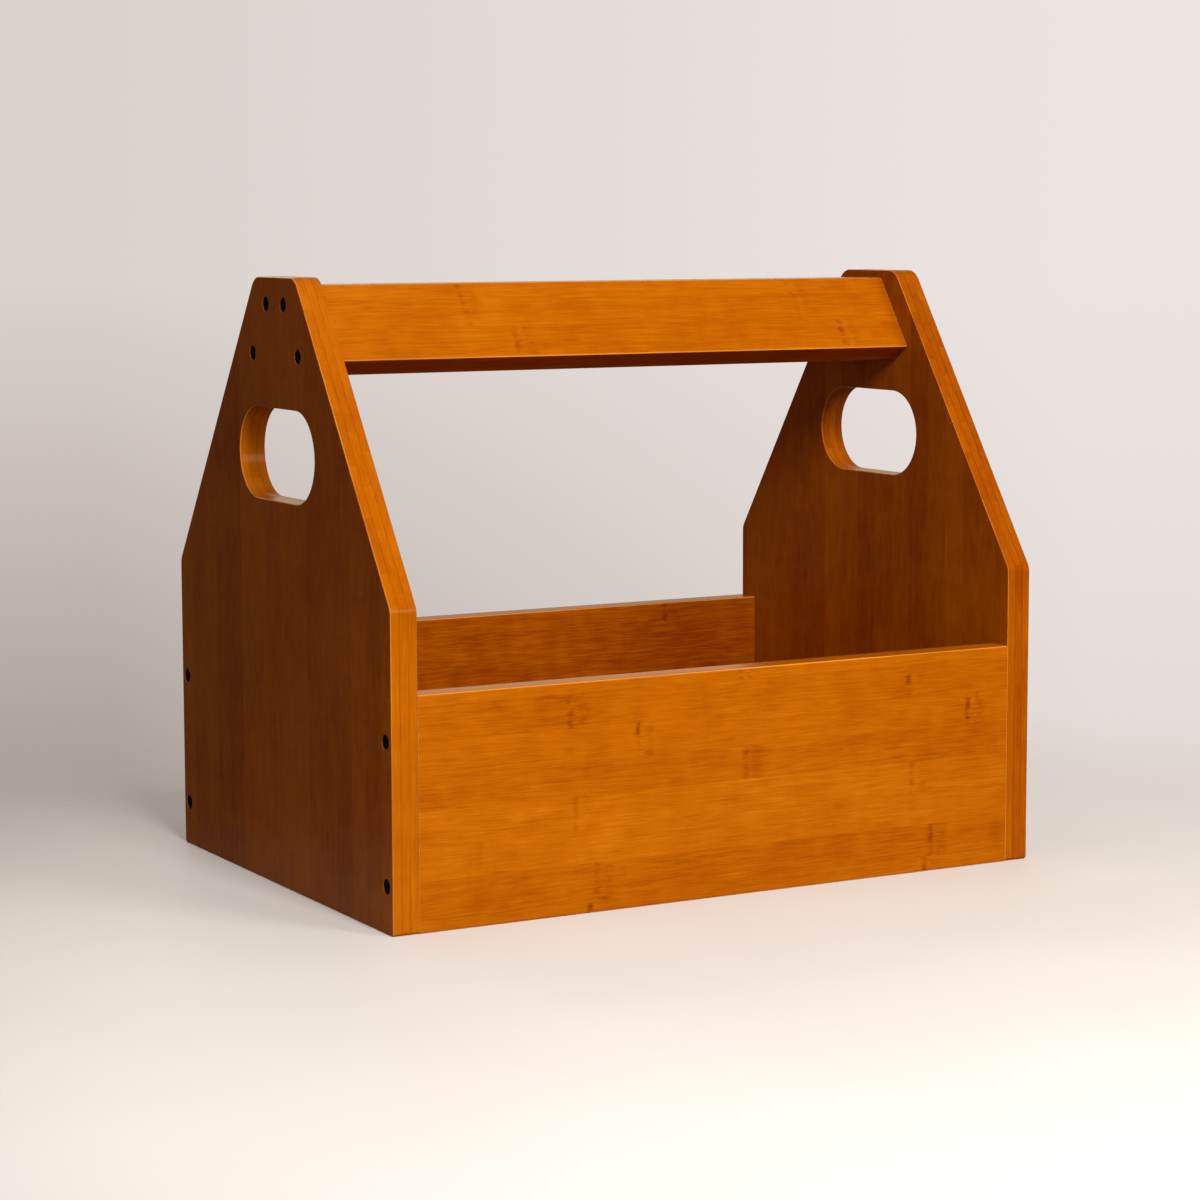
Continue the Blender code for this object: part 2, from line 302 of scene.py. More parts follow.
def falloff(tree, value, full, none):
    """Smooth step: 1 where the value is at full, 0 where it is at none."""
    return add(tree, "MapRange", value, full, none, 1.0, 0.0, interpolation_type='SMOOTHSTEP')


STRIP = 0.0182
PLY = BOARD / 3
PLY_MARGIN = 0.0006
PLY_STAGGER = 0.37
KNUCKLE_SPACING = 0.214
KNUCKLE_WOBBLE = 0.0024
CREASE_REACH = 0.0030
BAR_PLACE, BAR_REACH = 0.0078, 0.0060
FLECK_PLACE, FLECK_FULL, FLECK_REACH = 0.0042, 0.0010, 0.0080
CUT_LIVELY = 0.7
BAMBOO_TONES = ((0.0, (0.150, 0.0185, 0.0002)), (0.30, (0.252, 0.0520, 0.0003)),
                (0.5, (0.312, 0.0735, 0.0006)), (0.70, (0.362, 0.0960, 0.0020)),
                (1.0, (0.500, 0.165, 0.0130)))
# Paler arris colour: partly sanding wear, partly a painted highlight.
WEAR_AND_HIGHLIGHT_BAMBOO = (0.560, 0.200, 0.026, 1)
# Near black for the recess walls: painted shade.
BORE_SHADE_BROWN = (0.012, 0.004, 0.001, 1)
LACQUER_TINT = (1.0, 0.75, 0.35, 1)


def given_knuckles(tree, strip, knuckles):
    """Place and strength of the knuckle on each strip, from the board's first strip up.

    They are the red and green of a stepped ramp. A colour can't be negative, so the places go in
    as distances from the box's left end.
    """
    share = calc(tree, 'DIVIDE', calc(tree, 'ADD', strip, 0.5), float(len(knuckles)))
    stops = [(index / len(knuckles), (place + HALF_LENGTH, strength, 0))
             for index, (place, strength) in enumerate(knuckles)]
    place, strength = outputs(add(tree, "SeparateXYZ", ramp(tree, share, stops, 'CONSTANT')))[:2]
    return calc(tree, 'SUBTRACT', place, HALF_LENGTH), strength


def knuckle_marks(tree, board, along, place, streaks):
    """A knuckle's change of tone, and its crease alone.

    Along the grain it is a dark crease, a softer bar beyond it and short flecks between them.
    Patches break up the crease in some places, and the bar in the others.
    """
    past = calc(tree, 'SUBTRACT', along, place)
    past = calc(tree, 'WRAP', past, KNUCKLE_SPACING / 2, -KNUCKLE_SPACING / 2)
    past = weighted(tree, past, (KNUCKLE_WOBBLE, noise(tree, board, 170.0, 1.0)))
    patches = streaks(length=0.009, width=0.0050, detail=1.0)
    crease = falloff(tree, away(tree, past, 0.0), 0.0, CREASE_REACH)
    crease = calc(tree, 'MULTIPLY', crease, falloff(tree, patches, 0.20, -0.16))
    bar = falloff(tree, away(tree, past, BAR_PLACE), 0.0, BAR_REACH)
    bar = calc(tree, 'MULTIPLY', bar, falloff(tree, patches, -0.20, 0.20))
    between = falloff(tree, away(tree, past, FLECK_PLACE), FLECK_FULL, FLECK_REACH)
    flecks = calc(tree, 'MAXIMUM', streaks(length=0.0034, width=0.0006, detail=1.0), 0.0)
    flecks = calc(tree, 'MULTIPLY', between, flecks)
    tone = weighted(tree, 0.0, (-0.34, crease), (-0.16, bar), (-0.05, between), (0.9, flecks))
    return tone, crease


def bamboo(name, turn, shift, seed, knuckles=None,
           lighter=0.0, flake=1.0, edge=0.0, lively=1.0, marks=1.0):
    """Stained laminated bamboo under satin lacquer.

    The pattern is solid: turn and shift bring a point into the board's own directions, which are
    along the grain, across the strips, and through the plies to the face that shows. Depths stop
    0.6 mm short of both faces, so that no face is taken for a glue line. Each strip of each ply
    has its own tone and its own streaks, which are wider across than through by the flake; lively
    scales their contrast, and lighter raises every tone. A knuckle crosses a strip every 214 mm,
    at a place and with a strength that are drawn for the strip or given for it, and marks scales
    them all. The arrises are paler, partly from sanding wear and partly as a painted highlight,
    more so at the face that shows: with t the part of the normal that points through the board,
    they are where t squared is near a half. Cut edges, where t is near 0, are lightened or
    darkened by the edge's amount: painted light where it is above 0, painted shade where it is
    below. Where the mesh is marked as a bore, the recess wall is painted near black as shade.
    """
    material, tree, shader = blank_material(name)
    board = add(tree, "Mapping", place_on_object(tree), shift, turn)
    along, across, through = outputs(add(tree, "SeparateXYZ", board))
    depth = calc(tree, 'MAXIMUM', through, PLY_MARGIN)
    depth = calc(tree, 'MINIMUM', depth, BOARD - PLY_MARGIN)
    plies = calc(tree, 'DIVIDE', depth, PLY)
    ply = calc(tree, 'FLOOR', plies)
    stagger = calc(tree, 'SUBTRACT', 2.0, ply)
    strips = weighted(tree, calc(tree, 'DIVIDE', across, STRIP), (PLY_STAGGER, stagger))
    strip = calc(tree, 'FLOOR', strips)
    own_colour = outputs(add(tree, "TexWhiteNoise", add(tree, "CombineXYZ", strip, ply, seed)))[1]
    drawn = outputs(add(tree, "SeparateXYZ", own_colour))
    own_shift = add(tree, "VectorMath", own_colour, (9.0, 7.0, 5.0), operation='MULTIPLY')

    def streaks(length, width, detail=2.0, roughness=0.6):
        """Noise drawn out along the grain, and moved by each strip's own shift."""
        scale = (1 / length, 1 / (width * flake), 1 / width)
        grain = add(tree, "VectorMath", board, scale, own_shift, operation='MULTIPLY_ADD')
        return noise(tree, grain, 1.0, detail, roughness)

    broad = streaks(length=0.120, width=0.0040)
    fibre = streaks(length=0.028, width=0.0009)
    fine = streaks(length=0.014, width=0.0004, detail=1.0)
    glint = falloff(tree, streaks(length=0.012, width=0.0005, detail=1.0), 0.26, 0.08)
    dash = falloff(tree, streaks(length=0.019, width=0.0007, detail=1.0), 0.26, 0.12)
    band = streaks(length=0.013, width=0.0170, roughness=0.5)
    cloud = noise(tree, board, 11.0, 2.0)

    place = calc(tree, 'MULTIPLY', drawn[1], KNUCKLE_SPACING)
    strength = drawn[2]
    if knuckles:
        place, strength = given_knuckles(tree, strip, knuckles)
    knuckle, crease = knuckle_marks(tree, board, along, place, streaks)
    knuckle = calc(tree, 'MULTIPLY', knuckle, calc(tree, 'MULTIPLY', strength, marks))
    joint = falloff(tree, from_whole(tree, strips), 0.004, 0.022)
    glue = falloff(tree, from_whole(tree, plies), 0.020, 0.10)

    normal = outputs(add(tree, "TexCoord"))["Normal"]
    facing = add(tree, "Mapping", normal, None, turn, vector_type='VECTOR')
    facing = calc(tree, 'ABSOLUTE', outputs(add(tree, "SeparateXYZ", facing))[2])
    facing = calc(tree, 'POWER', facing, 2.0)
    arris = falloff(tree, away(tree, facing, 0.5), 0.12, 0.42)
    cut = falloff(tree, facing, 0.10, 0.30)

    tone = weighted(tree, 0.0, (0.22, broad), (0.44, fibre), (0.46, fine),
                    (0.10, glint), (-0.12, dash), (0.30, band))
    tone = calc(tree, 'MULTIPLY', tone, weighted(tree, lively, (CUT_LIVELY - lively, cut)))
    tone = calc(tree, 'ADD', tone, 0.5 + lighter)
    own_tone = calc(tree, 'SUBTRACT', drawn[0], 0.5)
    # edge times cut is painted light on cut edges where edge is above 0, and painted shade where it
    # is below.
    tone = weighted(tree, tone, (0.15, own_tone), (0.36, cloud), (-0.05, joint), (-0.15, glue),
                    (edge, cut), (1.0, knuckle))
    # Recess walls are painted near black: painted shade.
    bore_shade_mark = outputs(add(tree, "Attribute", attribute_name="bore"))[2]
    # Paler arrises, more so toward the face that shows: partly sanding wear, partly a painted
    # highlight.
    rubbed_and_lit = weighted(tree, 0.4, (0.6, calc(tree, 'DIVIDE', depth, BOARD)))
    wear_and_highlight = calc(tree, 'MULTIPLY', arris, rubbed_and_lit)
    wear_and_highlight = calc(tree, 'MULTIPLY', wear_and_highlight, weighted(tree, 0.75, (1.6, broad)))
    colour = add(tree, "MixRGB", wear_and_highlight, ramp(tree, tone, BAMBOO_TONES), WEAR_AND_HIGHLIGHT_BAMBOO)
    colour = add(tree, "MixRGB", bore_shade_mark, colour, BORE_SHADE_BROWN)
    roughness = weighted(tree, 0.21, (0.12, cloud), (0.10, fibre), (0.5, bore_shade_mark))
    height = weighted(tree, fibre, (-0.4, crease), (0.5, fine))
    tree.links.new(colour, shader.inputs["Base Color"])
    tree.links.new(roughness, shader.inputs["Roughness"])
    tree.links.new(add(tree, "Bump", 0.20, 0.00005, None, height), shader.inputs["Normal"])
    shader.inputs["Specular IOR Level"].default_value = 0.05
    shader.inputs["Specular Tint"].default_value = LACQUER_TINT
    return material


# The front slat's corners in Y and Z, and the screws' places, are needed for the panels' bores.
# One direction runs up the front slope and the other goes square into the box from it.
SLAT_WIDTH = 0.0485
SLAT_TOP = 0.3296
SLAT_INSET = 0.014
SLAT_SCREW_RISE = 0.008
SLAT_SCREW_SPACING = 0.033
WALL_HEIGHT = 0.124
WALL_SCREW_RISE = 0.025
WALL_SCREW_DROP = 0.024
slope = np.array([HALF_DEPTH - CROWN_WIDTH / 2, PANEL_HEIGHT - SHOULDER_HEIGHT])
slope /= np.linalg.norm(slope)
into = np.array([slope[1], -slope[0]])
face_start = np.array([-HALF_DEPTH, SHOULDER_HEIGHT]) + into * SLAT_INSET
slat_top = face_start + slope * (SLAT_TOP - face_start[1]) / slope[1]
slat_low = slat_top - slope * SLAT_WIDTH
slat_back = slat_low + into * BOARD
joint_low = slat_back + slope * (-SEAM / 2 - slat_back[0]) / slope[0]
low_screw = slat_low + into * BOARD / 2 + slope * SLAT_SCREW_RISE
slat_screws = [low_screw, low_screw + slope * SLAT_SCREW_SPACING]
wall_screws = [(BOARD / 2 - HALF_DEPTH, WALL_SCREW_RISE),
               (BOARD / 2 - HALF_DEPTH, WALL_HEIGHT - WALL_SCREW_DROP)]
screw_spots = {}
for node, mirror, pair in (("front_board", 1, wall_screws), ("back_board", -1, wall_screws),
                           ("handle_slat_front", 1, slat_screws),
                           ("handle_slat_back", -1, slat_screws)):
    for level, (y, z) in zip(("_lower", "_upper"), pair):
        screw_spots[node + level] = (mirror * y, z)

BORE_PROFILE = ((0, LIP_RADIUS + HOLD), (0, LIP_RADIUS), (LIP_KNEE, RECESS_RADIUS + LIP_KNEE),
                (RECESS_LIP, RECESS_RADIUS), (2 * RECESS_LIP, RECESS_RADIUS),
                (RECESS_DEPTH, RECESS_RADIUS), (RECESS_DEPTH, BORE_RADIUS), (BOARD, BORE_RADIUS))


def bore(centre, side, profile):
    """Round bore along X at one end: one ring for each (depth under the end's face, radius)."""
    return skin([at_x(circle(centre, radius), side * (HALF_LENGTH - depth))
                 for depth, radius in profile])


def mark_bores(mesh, spots):
    """Face attribute, 1 inside a recess: under the outer face and within its radius of its axis."""
    middles = np.empty(len(mesh.polygons) * 3)
    mesh.polygons.foreach_get("center", middles)
    middles = middles.reshape(-1, 3)
    from_axis = np.linalg.norm(middles[:, None, 1:] - spots, axis=2).min(1)
    under_face = np.abs(middles[:, 0]) < HALF_LENGTH - RECESS_LIP
    inside = (from_axis < RECESS_RADIUS + RECESS_LIP / 2) & under_face
    mark = mesh.attributes.new("bore", 'FLOAT', 'FACE')
    mark.data.foreach_set("value", inside.astype(np.float32))


def end_panel(name, side, material, replaced):
    """Eased rings round the outline and the hand hole, flat faces between, bores and groove."""
    levels = eased_levels(INNER_X, HALF_LENGTH)
    corners, radii = panel_corners()
    outer = [rounded_outline(corners, radii, CORNER_STEPS, inset) for x, inset in levels]
    slot = [slot_outline(inset) for x, inset in levels]
    parts = []
    for loops in (outer, slot):
        parts.append(skin([at_x(loop, side * x) for loop, (x, inset) in zip(loops, levels)]))
    reach = INNER_Y + GROOVE_DEPTH
    groove = np.array([(-reach, GROOVE_LOW), (reach, GROOVE_LOW),
                       (reach, GROOVE_HIGH), (-reach, GROOVE_HIGH)])
    bed = side * (INNER_X + GROOVE_DEPTH)
    parts.append(skin([at_x(groove, side * INNER_X), at_x(groove, bed)]))
    parts.append(flat_face(groove, [], bed))
    spots = list(screw_spots.values())
    parts += [bore(spot, side, BORE_PROFILE) for spot in spots]
    lips = [circle(spot, LIP_RADIUS + HOLD) for spot in spots]
    parts.append(flat_face(outer[-1], [slot[-1], *lips], side * HALF_LENGTH))
    shanks = [circle(spot, BORE_RADIUS) for spot in spots]
    parts.append(flat_face(outer[0], [slot[0], groove, *shanks], side * INNER_X))
    panel = make_piece(name, parts, material, replaced)
    # The marked recess walls get painted shade in the bamboo material.
    mark_bores(panel.data, np.array(spots))


UPRIGHT = (0, math.radians(90), 0)
# From a joint between strips to the middle of each panel's face that shows.
LEFT_MIDDLE, RIGHT_MIDDLE = 0.094, 0.099
# The end panels' tones are lowered as painted shade over each whole panel, and their edge amounts
# are painted light on their cut edges.
left_bamboo = bamboo("bamboo_left_end", UPRIGHT, (0, LEFT_MIDDLE, -INNER_X), 3.0,
                     lighter=-0.19, flake=8.0, edge=0.15, lively=0.5, marks=0.3)
right_bamboo = bamboo("bamboo_right_end", UPRIGHT, (0, RIGHT_MIDDLE, HALF_LENGTH), 8.0,
                      lighter=-0.24, flake=8.0, edge=0.03, lively=0.5, marks=0.3)
end_panel("left_end", -1, left_bamboo, "end_panel_left")
end_panel("right_end", 1, right_bamboo, "end_panel_right")

# FRONT AND BACK BOARDS
# Two boards of the same 15 mm bamboo, 124 mm high, with the grain running along the box. They
# stand between the end panels, flush with their upright edges. A groove near the foot of each
# inner face takes the bottom board, and each end has two pilot bores for its screws.
BUTT_JOINT = 0.00005
BOARD_END = INNER_X - BUTT_JOINT
SCREW_LENGTH = 0.048
PILOT_DEPTH = RECESS_DEPTH + SCREW_LENGTH
CUT_EASE = 0.0002
GROOVE_LIP_RADIUS = 0.0004
GROOVE_BED_RADIUS = 0.0003


def carried_board(name, outline, spots, material, replaced, ends=BOARD_END):
    """A section in Y and Z carried along X, with a slight ease at its cut ends and bores in them.

    The section is a function of its inset, so the ends draw in by the ease.
    """
    right_end = [(ends - CUT_EASE - HOLD, 0), (ends - CUT_EASE, 0), (ends, CUT_EASE)]
    levels = [(-x, inset) for x, inset in reversed(right_end)] + right_end
    parts = [skin([at_x(outline(inset), x) for x, inset in levels])]
    holes = [circle(spot, BORE_RADIUS) for spot in spots]
    pilot = ((HALF_LENGTH - ends, BORE_RADIUS), (PILOT_DEPTH, BORE_RADIUS))
    for side in (-1, 1):
        parts.append(flat_face(outline(CUT_EASE), holes, side * ends))
        for spot, hole in zip(spots, holes):
            parts.append(bore(spot, side, pilot))
            parts.append(flat_face(hole, [], side * (HALF_LENGTH - PILOT_DEPTH)))
    make_piece(name, parts, material, replaced)


def board_screws(node):
    """The places of one board's two screws."""
    return [screw_spots[node + "_lower"], screw_spots[node + "_upper"]]


def wall_outline(side):
    """Section of a front or back board: four eased corners, and the groove in the inner face."""
    bed = INNER_Y + GROOVE_DEPTH
    corners = [(HALF_DEPTH, 0), (HALF_DEPTH, WALL_HEIGHT), (INNER_Y, WALL_HEIGHT),
               (INNER_Y, GROOVE_HIGH), (bed, GROOVE_HIGH), (bed, GROOVE_LOW),
               (INNER_Y, GROOVE_LOW), (INNER_Y, 0)]
    corners = [(side * y, z) for y, z in corners]
    radii = (ARRIS, ARRIS, ARRIS, GROOVE_LIP_RADIUS, GROOVE_BED_RADIUS, GROOVE_BED_RADIUS,
             GROOVE_LIP_RADIUS, ARRIS)
    return lambda inset: rounded_outline(corners, radii, ARRIS_STEPS, inset)


ALONG_WALL = (math.radians(-90), 0, 0)
# Height of the lowest joint between strips on the face that shows.
FRONT_FIRST_JOINT, BACK_FIRST_JOINT = 0.0086, 0.0030
# Each strip's knuckle from the foot up: its place along the board from the middle, its strength.
FRONT_KNUCKLES = ((-0.085, 0.9), (-0.081, 0.6), (0.064, 0.3), (0.120, 0.5), (0.011, 0.5),
                  (-0.056, 1.0), (-0.097, 0.7), (0.008, 1.0))
front_bamboo = bamboo("bamboo_front", ALONG_WALL, (0, STRIP - FRONT_FIRST_JOINT, -INNER_Y), 5.0,
                      FRONT_KNUCKLES, marks=1.3)
# The back board's lowered tone is painted shade over the whole board.
back_bamboo = bamboo("bamboo_back", ALONG_WALL, (0, STRIP - BACK_FIRST_JOINT, HALF_DEPTH), 6.0,
                     lighter=-0.30)
for name, side, material, replaced in (("front_side", -1, front_bamboo, "front_board"),
                                       ("back_side", 1, back_bamboo, "back_board")):
    carried_board(name, wall_outline(side), board_screws(replaced), material, replaced)

# BOTTOM BOARD
# A thinner bamboo board, 8 mm, with its grain along the box. Its four edges lie in the grooves of
# the boards round it, with nothing else to hold it.
BOTTOM_Y = INNER_Y + TONGUE
BOTTOM_EASE = 0.0005
BOTTOM_EASE_STEPS = 3
# How far the board's front edge lies into its first strip, before the plies' stagger.
BOTTOM_INTO_STRIP = 0.004


def bottom_outline(inset):
    """Section of the bottom board, with a slight ease along its edges."""
    corners = [(-BOTTOM_Y, BOTTOM_LOW), (BOTTOM_Y, BOTTOM_LOW),
               (BOTTOM_Y, BOTTOM_HIGH), (-BOTTOM_Y, BOTTOM_HIGH)]
    return rounded_outline(corners, [BOTTOM_EASE] * 4, BOTTOM_EASE_STEPS, inset)


bottom_bamboo = bamboo("bamboo_bottom", (0, 0, 0), (0, BOTTOM_Y + BOTTOM_INTO_STRIP, -BOTTOM_LOW),
                       11.0)
carried_board("bottom_panel", bottom_outline, [], bottom_bamboo, "bottom_board",
              ends=INNER_X + TONGUE)

# HANDLE
# Two 15 mm slats with their grain along the box lean together under the crowns. Their outer faces
# run parallel to the sloping edges of the end panels, their tops are cut level, and they meet on
# an upright joint. The edge that the palm meets is rounded a little more than the others.
PALM_RADIUS = 0.002
JOINT_EASE = 0.0004
# How far each slat's lower edge lies into its first strip, before the plies' stagger.
FRONT_INTO_STRIP, BACK_INTO_STRIP = 0.0166, 0.0100
# The front slat's knuckles from its lower edge up: place along the slat, strength.
SLAT_KNUCKLES = ((0.020, 0.3), (-0.071, 0.9), (0.118, 0.4), (-0.097, 0.7))


def slat_outline(side):
    """Section of one slat: face, level top, upright joint, inner face and lower edge."""
    corners = [slat_low, slat_top, (-SEAM / 2, SLAT_TOP), joint_low, slat_back]
    corners = [(-side * y, z) for y, z in corners]
    radii = (ARRIS, PALM_RADIUS, JOINT_EASE, JOINT_EASE, ARRIS)
    return lambda inset: rounded_outline(corners, radii, ARRIS_STEPS, inset)


def slat_foot(side):
    """How far the slat's lower outer corner lies up its slope, and in from it, from the origin."""
    foot = np.array([-side * slat_low[0], slat_low[1]])
    across = np.array([-side * slope[0], slope[1]])
    inward = np.array([-side * into[0], into[1]])
    return foot @ across, foot @ inward


lean = math.atan2(slope[1], slope[0])
front_foot, front_face = slat_foot(-1)
back_foot, back_face = slat_foot(1)
# The slats' edge amount below 0 is painted shade on their cut edges, the underside among them.
front_slat_bamboo = bamboo("bamboo_slat_front", (-lean, 0, 0),
                           (0, FRONT_INTO_STRIP - front_foot, front_face + BOARD), 4.0,
                           SLAT_KNUCKLES, lighter=0.02, edge=-0.48, lively=0.9)
back_slat_bamboo = bamboo("bamboo_slat_back", (lean - math.pi, 0, 0),
                          (0, BACK_INTO_STRIP - back_foot, -back_face), 9.0,
                          lighter=0.02, edge=-0.48, lively=0.9)
for name, side, material, replaced in (("front_slat", -1, front_slat_bamboo, "handle_slat_front"),
                                       ("back_slat", 1, back_slat_bamboo, "handle_slat_back")):
    carried_board(name, slat_outline(side), board_screws(replaced), material, replaced)

# SCREWS
# Sixteen blackened steel furniture screws with hexagonal sockets, two into each end of the front
# board, the back board and both slats. Each head sits 1.5 mm under the end panel's outer face.
HEAD_RADIUS = 0.0037
SHANK_RADIUS = 0.0025
SOCKET = 0.0020
SOCKET_DEPTH = 0.0020
SOCKET_CHAMFER = 0.0002
HEAD_CHAMFER = 0.0004
HEAD_KNEE_DEPTH, HEAD_KNEE_INSET = 0.3 * HEAD_CHAMFER, 0.25 * HEAD_CHAMFER
UNDER_CHAMFER = 0.0003
POINT_LENGTH = 0.004
POINT_RADIUS = 0.0008
DRILL_CONE, DRILL_RADIUS = 0.0002, 0.0007
SCREW_END = HEAD_HEIGHT + SCREW_LENGTH
# Depth under the head's face, radius, and whether the ring is a hexagon.
SCREW_PROFILE = ((SOCKET_DEPTH + DRILL_CONE, DRILL_RADIUS, False),
                 (SOCKET_DEPTH, SOCKET, True),
                 (SOCKET_CHAMFER, SOCKET, True),
                 (0.0, SOCKET + SOCKET_CHAMFER, True),
                 (0.0, HEAD_RADIUS - HEAD_CHAMFER, False),
                 (HEAD_KNEE_DEPTH, HEAD_RADIUS - HEAD_KNEE_INSET, False),
                 (HEAD_CHAMFER, HEAD_RADIUS, False),
                 (HEAD_HEIGHT - UNDER_CHAMFER, HEAD_RADIUS, False),
                 (HEAD_HEIGHT, HEAD_RADIUS - UNDER_CHAMFER, False),
                 (HEAD_HEIGHT, SHANK_RADIUS, False),
                 (SCREW_END - POINT_LENGTH, SHANK_RADIUS, False),
                 (SCREW_END, POINT_RADIUS, False))
STEEL_TONES = ((0.0, (0.010, 0.009, 0.009)), (0.35, (0.010, 0.009, 0.009)),
               (0.75, (0.030, 0.022, 0.017)))


def steel():
    """Blackened steel: a thin dark oxide with browner, duller patches."""
    material, tree, shader = blank_material("black_steel")
    patches = add(tree, "TexNoise", place_on_object(tree), None, 900.0, 3.0, 0.6)
    tree.links.new(ramp(tree, patches, STEEL_TONES), shader.inputs["Base Color"])
    tree.links.new(weighted(tree, 0.22, (0.3, patches)), shader.inputs["Roughness"])
    shader.inputs["Metallic"].default_value = 0.9
    return material


def ring(spot, x, radius, hexagon):
    """One ring of a turned piece at one X.

    A hexagon's reach is its half width over the cosine of the turn from the nearest flat's middle.
    """
    angle = np.arange(ROUND_SIDES) * math.tau / ROUND_SIDES
    reach = np.full(ROUND_SIDES, radius)
    if hexagon:
        reach = radius / np.cos(angle % (math.pi / 3) - math.pi / 6)
    return at_x(np.stack([spot[0] + reach * np.cos(angle), spot[1] + reach * np.sin(angle)], 1), x)


def screw_parts(spot, side):
    """A screw from its socket's cone out over the head and down to the point, closed at both."""
    face = HALF_LENGTH - HEAD_SET
    rings = [ring(spot, side * (face - depth), radius, hexagon)
             for depth, radius, hexagon in SCREW_PROFILE]
    points, quads = skin(rings)
    first = np.arange(ROUND_SIDES)
    caps = np.stack([first, first + len(points) - ROUND_SIDES])
    return (points, quads), (points, caps)


black_steel = steel()
for end_name, side in (("left", -1), ("right", 1)):
    for spot_name, spot in screw_spots.items():
        make_piece("hex_" + end_name + "_" + spot_name, screw_parts(spot, side), black_steel,
                   "screw_" + end_name + "_" + spot_name)

# FLOOR AND LIGHT
# A pale matt table top that fades into a pale backdrop. The key is a soft light in front and
# a little to the left. Weaker ones stand to the right, to the left and behind, and one hangs
# overhead.
FLOOR_RINGS = (0.4, 0.8, 1.4, 2.2, 3.5)
FLOOR_SIDES = 96
FLOOR_MIDDLE = (-0.04, -0.30, 0)
FADE_START, FADE_END = 0.25, 0.85
TABLE_DARK, TABLE_PALE = (0.60, 0.551, 0.506, 1), (0.65, 0.601, 0.556, 1)


def table_top():
    """A flat disc on the ground: points at even angles on rings.

    It fades out with the distance from its middle, and to all but the camera it is half clear, so
    that it throws less light back.
    """
    angle = np.arange(FLOOR_SIDES) * math.tau / FLOOR_SIDES
    rows = [np.stack([radius * np.cos(angle), radius * np.sin(angle), 0 * angle], 1)
            for radius in FLOOR_RINGS]
    points, quads = skin(rows)
    mesh = bpy.data.meshes.new("table_top")
    mesh.from_pydata(points.tolist(), [], quads.tolist() + [list(range(FLOOR_SIDES))])
    material, tree, shader = blank_material("table_top")
    where = place_on_object(tree)
    mottle = add(tree, "TexNoise", where, None, 6.0, 3.0, 0.5)
    tree.links.new(add(tree, "MixRGB", mottle, TABLE_DARK, TABLE_PALE), shader.inputs["Base Color"])
    shader.inputs["Roughness"].default_value = 0.6
    shader.inputs["Specular IOR Level"].default_value = 0.2
    far = outputs(add(tree, "VectorMath", where, FLOOR_MIDDLE, operation='DISTANCE'))["Value"]
    unseen = calc(tree, 'SUBTRACT', 1.0, add(tree, "LightPath"))
    fade = weighted(tree, falloff(tree, far, FADE_END, FADE_START), (0.5, unseen))
    clear = add(tree, "BsdfTransparent")
    mixed = add(tree, "MixShader", fade, shader.outputs[0], clear)
    tree.links.new(mixed, tree.nodes["Material Output"].inputs["Surface"])
    mesh.materials.append(material)
    floor = new_object("table_top", mesh)


AIM_HEIGHT = 0.14


def soft_light(name, azimuth, elevation, distance, width, height, watts, colour=(1, 1, 1)):
    """Area light that looks at the middle of the box. Its azimuth is 0 in front, + to the right."""
    light = bpy.data.lights.new(name, 'AREA')
    light.shape = 'RECTANGLE'
    light.size, light.size_y = width, height
    light.energy = watts
    light.color = colour
    lamp = new_object(name, light)
    turn, rise = math.radians(azimuth), math.radians(elevation)
    out = distance * math.cos(rise)
    lamp.location = (out * math.sin(turn), -out * math.cos(turn),
                     AIM_HEIGHT + distance * math.sin(rise))
    lamp.rotation_euler = (math.pi / 2 - rise, 0, turn)
    lamp.visible_camera = False


# WALL_DIM and the dim lower left of the backdrop are painted shade.
WALL_DIM, WALL_PALE = (0.36, 0.308, 0.272, 1), (0.90, 0.835, 0.810, 1)
WARM_LIGHT = (1.0, 0.86, 0.62, 1)
PATCH_HEADING = (0.55, 0.82, 0.12)


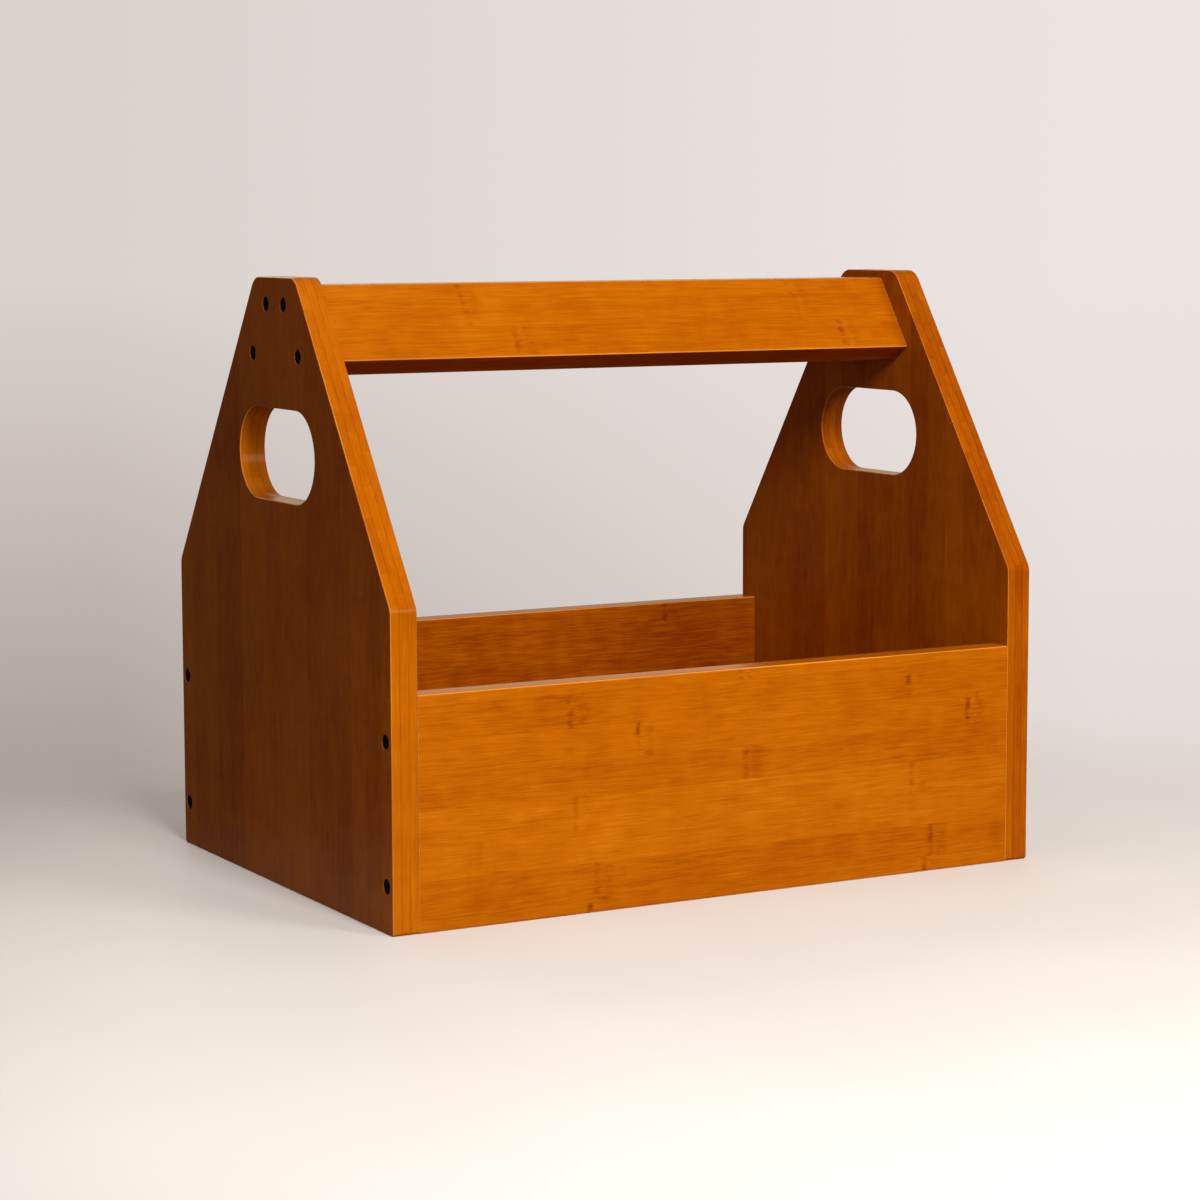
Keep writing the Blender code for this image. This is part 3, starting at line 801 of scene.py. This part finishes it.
def backdrop():
    """World. The camera sees a pale wall, dimmer to the left and towards its foot.

    Its share of white is 0.63 - 0.58 down + 0.26 right + 0.45 right down, and up to 0.5 more below
    that. Everything else sees one broad warm patch behind and to the right, as the heading's dot
    product with the patch's own rises from 0.78 to 0.96, and dim surroundings that are a little
    lighter to the left.
    """
    world = bpy.data.worlds.new("studio")
    bpy.context.scene.world = world
    world.use_nodes = True
    tree = world.node_tree
    tree.nodes.clear()
    heading = outputs(add(tree, "TexCoord"))["Generated"]
    x, y, z = outputs(add(tree, "SeparateXYZ", heading))
    right = add(tree, "MapRange", x, 0.34, 0.61, 0.0, 1.0)
    down = add(tree, "MapRange", z, -0.02, -0.18, 0.0, 1.0)
    # The wall is darker to the left and low down, with a dark band low on the left: painted shade.
    pale = calc(tree, 'MULTIPLY_ADD', down, weighted(tree, -0.58, (0.45, right)), 0.63)
    pale = weighted(tree, pale, (0.26, right))
    pale = calc(tree, 'ADD', pale, add(tree, "MapRange", z, -0.18, -0.28, 0.0, 0.5))
    seen = add(tree, "Background", add(tree, "MixRGB", pale, WALL_DIM, WALL_PALE), 1.0)
    dot = add(tree, "VectorMath", heading, PATCH_HEADING, operation='DOT_PRODUCT')
    patch = add(tree, "MapRange", outputs(dot)["Value"], 0.78, 0.96, 0.0, 0.70)
    patch = calc(tree, 'ADD', patch, add(tree, "MapRange", x, 0.2, -0.6, 0.05, 0.15))
    lit = add(tree, "Background", WARM_LIGHT, patch)
    mixed = add(tree, "MixShader", add(tree, "LightPath"), lit, seen)
    end = tree.nodes.new("ShaderNodeOutputWorld")
    tree.links.new(mixed, end.inputs["Surface"])


table_top()
backdrop()
soft_light("key", azimuth=-10, elevation=34, distance=1.95, width=0.55, height=0.55, watts=46)
soft_light("side", azimuth=24, elevation=22, distance=2.1, width=0.6, height=0.6, watts=20)
soft_light("left", azimuth=-26, elevation=8, distance=2.1, width=0.8, height=0.5, watts=8,
           colour=(1.0, 0.95, 0.90))
soft_light("top", azimuth=0, elevation=88, distance=2.1, width=1.8, height=1.8, watts=8)
soft_light("back", azimuth=180, elevation=30, distance=2.3, width=1.4, height=0.8, watts=9)

# CAMERA
# At the photograph's viewing angle: a long lens, a little above the box and round to its left.
# The shifts and the small roll centre the box in the picture as the photograph does.
CAMERA_PLACE = (-0.87084, -1.57008, 0.36543)
CAMERA_DROP, CAMERA_ROLL, CAMERA_TURN = 6.3895, 0.1108, -29.2875
view = bpy.data.cameras.new("camera")
view.lens = 94.183
view.sensor_width = 36
view.shift_x = -0.01103
view.shift_y = -0.02583
camera = new_object("camera", view)
camera.location = CAMERA_PLACE
turns = (90 - CAMERA_DROP, CAMERA_ROLL, CAMERA_TURN)
camera.rotation_euler = [math.radians(angle) for angle in turns]
bpy.context.scene.camera = camera
bpy.context.scene.view_settings.view_transform = 'Standard'
